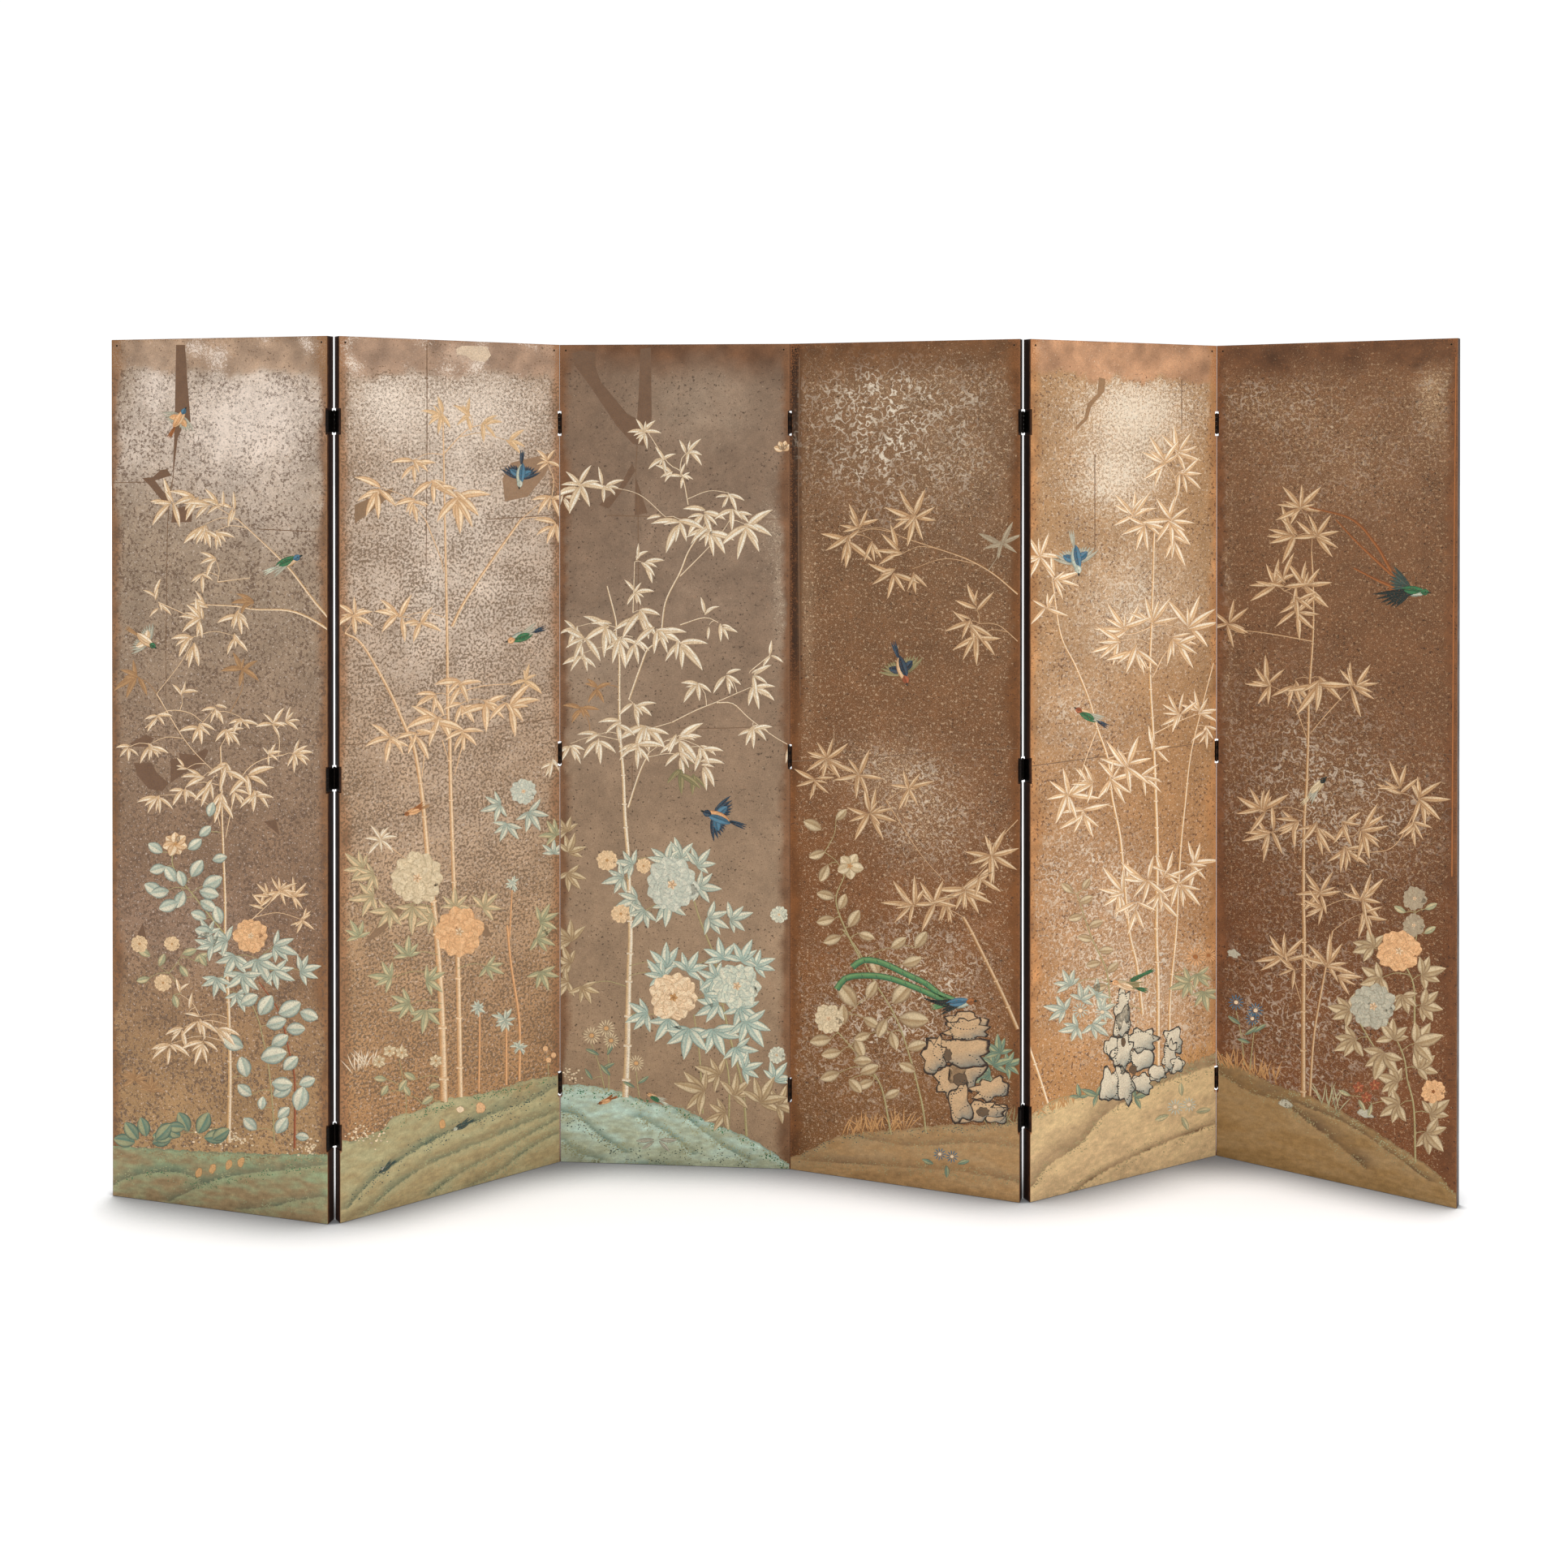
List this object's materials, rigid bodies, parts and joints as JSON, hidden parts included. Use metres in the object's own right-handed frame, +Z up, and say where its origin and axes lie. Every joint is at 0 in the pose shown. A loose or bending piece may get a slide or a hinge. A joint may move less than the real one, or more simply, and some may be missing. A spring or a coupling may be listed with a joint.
{
  "type": "folding screen",
  "caption": "Free-standing room screen of hinged flat wooden panels faced with painted paper and set in a zigzag; double-action hinges fold each joint both ways.",
  "frame": {"origin": "on the floor, under the middle of the whole screen as it stands", "axes": "+X to the right along the row of panels, seen from the painted side; +Y away from the painted faces, to the back; +Z up"},
  "size_m": [3.3392, 0.4445, 2.134],
  "materials": {
    "frame_wood": "stained brown, worn",
    "face_board": "thin board with worn brown edges",
    "painted_paper": "aged silvered paper painted with plants and birds",
    "back_board": "stained dark brown",
    "hinge_metal": "dark patina",
    "nail_metal": "blackened, slightly rusted"
  },
  "bodies": {
    "panel_1": {"panel_1_left_stile": "frame_wood", "panel_1_right_stile": "frame_wood", "panel_1_rails": "frame_wood", "panel_1_face_board": "face_board", "panel_1_painting": "painted_paper", "panel_1_back_board": "back_board", "panel_1_hinge_leaves": "hinge_metal", "panel_1_fixings": "nail_metal"},
    "panel_2": {"panel_2_left_stile": "frame_wood", "panel_2_right_stile": "frame_wood", "panel_2_rails": "frame_wood", "panel_2_face_board": "face_board", "panel_2_painting": "painted_paper", "panel_2_back_board": "back_board", "panel_2_hinge_leaves": "hinge_metal", "panel_2_fixings": "nail_metal"},
    "panel_3": {"panel_3_left_stile": "frame_wood", "panel_3_right_stile": "frame_wood", "panel_3_rails": "frame_wood", "panel_3_face_board": "face_board", "panel_3_painting": "painted_paper", "panel_3_back_board": "back_board", "panel_3_hinge_leaves": "hinge_metal", "panel_3_fixings": "nail_metal"},
    "panel_4": {"panel_4_left_stile": "frame_wood", "panel_4_right_stile": "frame_wood", "panel_4_rails": "frame_wood", "panel_4_face_board": "face_board", "panel_4_painting": "painted_paper", "panel_4_back_board": "back_board", "panel_4_hinge_leaves": "hinge_metal", "panel_4_fixings": "nail_metal"},
    "panel_5": {"panel_5_left_stile": "frame_wood", "panel_5_right_stile": "frame_wood", "panel_5_rails": "frame_wood", "panel_5_face_board": "face_board", "panel_5_painting": "painted_paper", "panel_5_back_board": "back_board", "panel_5_hinge_leaves": "hinge_metal", "panel_5_fixings": "nail_metal"},
    "panel_6": {"panel_6_left_stile": "frame_wood", "panel_6_right_stile": "frame_wood", "panel_6_rails": "frame_wood", "panel_6_face_board": "face_board", "panel_6_painting": "painted_paper", "panel_6_back_board": "back_board", "panel_6_hinge_leaves": "hinge_metal", "panel_6_fixings": "nail_metal"},
    "link_12": {"joint_12_links": "hinge_metal", "joint_12_pins": "hinge_metal"},
    "link_23": {"joint_23_links": "hinge_metal", "joint_23_pins": "hinge_metal"},
    "link_34": {"joint_34_links": "hinge_metal", "joint_34_pins": "hinge_metal"},
    "link_45": {"joint_45_links": "hinge_metal", "joint_45_pins": "hinge_metal"},
    "link_56": {"joint_56_links": "hinge_metal", "joint_56_pins": "hinge_metal"}
  },
  "joints": [
    {"name": "joint_12_front_pin", "type": "hinge", "parent": "link_12", "child": "panel_1", "pos_m": [-1.08976, -0.21875, 1.067], "axis": [0, 0, -1], "range_deg": [-179, 0]},
    {"name": "joint_12_back_pin", "type": "hinge", "parent": "panel_2", "child": "link_12", "pos_m": [-1.08161, -0.18874, 1.067], "axis": [0, 0, -1], "range_deg": [-52, 127]},
    {"name": "joint_23_front_pin", "type": "hinge", "parent": "link_23", "child": "panel_2", "pos_m": [-0.58094, 0.14697, 1.067], "axis": [0, 0, 1], "range_deg": [-41, 138]},
    {"name": "joint_23_back_pin", "type": "hinge", "parent": "panel_3", "child": "link_23", "pos_m": [-0.57866, 0.17799, 1.067], "axis": [0, 0, 1], "range_deg": [-179, 0]},
    {"name": "joint_34_front_pin", "type": "hinge", "parent": "panel_3", "child": "link_34", "pos_m": [0.01944, 0.10288, 1.067], "axis": [0, 0, 1], "range_deg": [-164, 15]},
    {"name": "joint_34_back_pin", "type": "hinge", "parent": "link_34", "child": "panel_4", "pos_m": [0.02967, 0.13225, 1.067], "axis": [0, 0, 1], "range_deg": [0, 179]},
    {"name": "joint_45_front_pin", "type": "hinge", "parent": "panel_4", "child": "link_45", "pos_m": [0.58796, -0.0951, 1.067], "axis": [0, 0, -1], "range_deg": [0, 179]},
    {"name": "joint_45_back_pin", "type": "hinge", "parent": "link_45", "child": "panel_5", "pos_m": [0.59819, -0.06573, 1.067], "axis": [0, 0, -1], "range_deg": [-131.5, 47.5]},
    {"name": "joint_56_front_pin", "type": "hinge", "parent": "panel_5", "child": "link_56", "pos_m": [1.14298, 0.19229, 1.067], "axis": [0, 0, 1], "range_deg": [-119, 60]},
    {"name": "joint_56_back_pin", "type": "hinge", "parent": "link_56", "child": "panel_6", "pos_m": [1.15932, 0.21875, 1.067], "axis": [0, 0, 1], "range_deg": [0, 179]}
  ]
}
